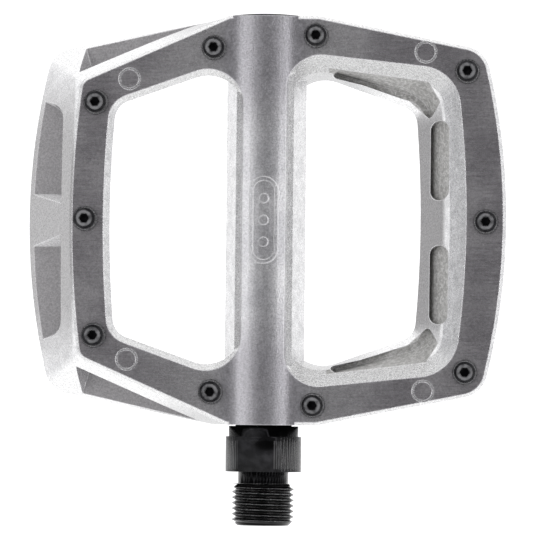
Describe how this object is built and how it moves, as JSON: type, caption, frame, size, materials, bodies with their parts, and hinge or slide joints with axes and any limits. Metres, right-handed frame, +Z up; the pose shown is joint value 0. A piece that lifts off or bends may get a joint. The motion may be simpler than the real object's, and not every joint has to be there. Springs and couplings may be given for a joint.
{
  "type": "flat bicycle pedal",
  "caption": "Flat platform pedal: cast aluminium body with two windows and steel traction pins, turning on a loose-ball axle with a left-hand crank thread.",
  "frame": {"origin": "on the axle's axis, on the collar face that seats against the crank", "axes": "+Y along the axle away from the crank, +X across the platform, +Z up through the upper pins"},
  "size_m": [0.1114, 0.1182, 0.0242],
  "materials": {
    "cast_aluminium": "cast, with linished faces",
    "black_steel": "black oxide",
    "pin_steel": "black oxide",
    "bearing_steel": "ground",
    "plated_steel": "zinc plated",
    "seal_rubber": "matte",
    "black_plastic": "satin"
  },
  "bodies": {
    "axle": {"axle": "black_steel", "adjusting_cone": "bearing_steel", "tab_washer": "plated_steel", "lock_nut": "plated_steel"},
    "platform": {"pedal_body": "cast_aluminium", "inboard_seal": "seal_rubber", "inboard_cup": "bearing_steel", "outboard_cup": "bearing_steel", "dust_cap": "black_plastic", "cap_o_ring": "seal_rubber", "top_pin_1": "pin_steel", "top_pin_2": "pin_steel", "top_pin_3": "pin_steel", "top_pin_4": "pin_steel", "top_pin_5": "pin_steel", "top_pin_6": "pin_steel", "top_pin_7": "pin_steel", "top_pin_8": "pin_steel", "top_pin_9": "pin_steel", "top_pin_10": "pin_steel", "bottom_pin_1": "pin_steel", "bottom_pin_2": "pin_steel", "bottom_pin_3": "pin_steel", "bottom_pin_4": "pin_steel", "bottom_pin_5": "pin_steel", "bottom_pin_6": "pin_steel", "bottom_pin_7": "pin_steel", "bottom_pin_8": "pin_steel", "bottom_pin_9": "pin_steel", "bottom_pin_10": "pin_steel"},
    "inboard_ball_ring": {"inboard_balls": "bearing_steel"},
    "outboard_ball_ring": {"outboard_balls": "bearing_steel"}
  },
  "joints": [
    {"name": "platform_spin", "type": "hinge", "parent": "axle", "child": "platform", "pos_m": [0, 0.0579, 0], "axis": [0, 1, 0], "continuous": true},
    {"name": "inboard_ball_orbit", "type": "hinge", "parent": "axle", "child": "inboard_ball_ring", "pos_m": [0, 0.017, 0], "axis": [0, 1, 0], "continuous": true},
    {"name": "outboard_ball_orbit", "type": "hinge", "parent": "axle", "child": "outboard_ball_ring", "pos_m": [0, 0.0936, 0], "axis": [0, 1, 0], "continuous": true}
  ],
  "couplings": [
    {"joint": "inboard_ball_orbit", "follows": "platform_spin", "ratio": 0.5885},
    {"joint": "outboard_ball_orbit", "follows": "platform_spin", "ratio": 0.604}
  ]
}
